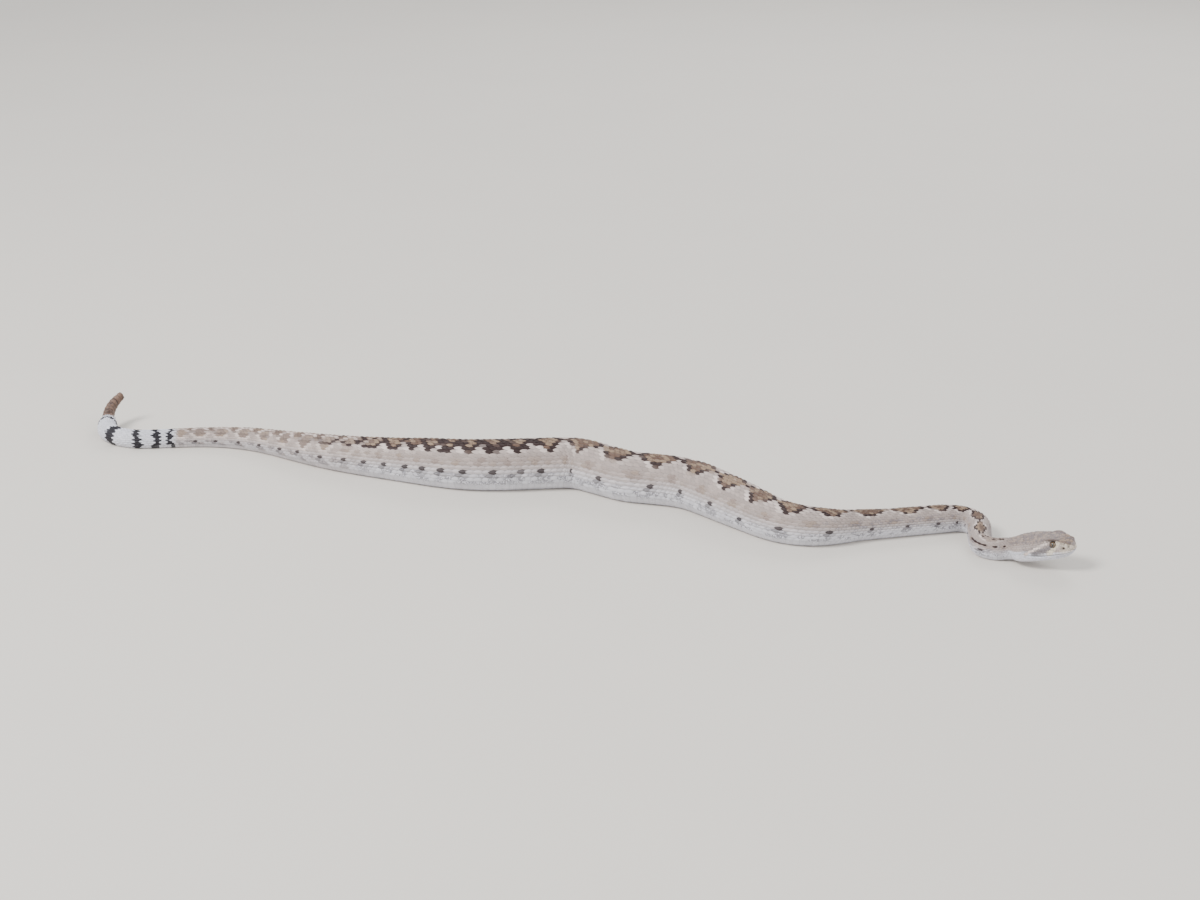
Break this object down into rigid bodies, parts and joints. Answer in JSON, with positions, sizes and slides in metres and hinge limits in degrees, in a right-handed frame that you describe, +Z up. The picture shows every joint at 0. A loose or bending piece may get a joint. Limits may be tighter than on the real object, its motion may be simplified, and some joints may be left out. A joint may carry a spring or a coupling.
{
  "type": "western diamondback rattlesnake",
  "caption": "Western diamondback rattlesnake crawling over flat ground, its neck drawn into a tight S, head and rattle just lifted: a still, life-size display model.",
  "frame": {"origin": "on the floor, under the middle of the whole snake's bounding box", "axes": "+X from the tail's end of the box towards the head's, +Y to the side that the back's bends face away from the picture's camera, +Z up from the floor"},
  "size_m": [0.6422, 0.2802, 0.0314],
  "materials": {
    "skin": "dry keeled scales",
    "eye": "glossy, under a clear scale",
    "rattle": "dry horn"
  },
  "bodies": {
    "root": {"head": "skin", "neck": "skin", "forebody": "skin", "midbody_front": "skin", "midbody_rear": "skin", "hindbody": "skin", "tail": "skin", "rattle": "rattle", "eye_right": "eye", "eye_left": "eye"}
  },
  "joints": []
}
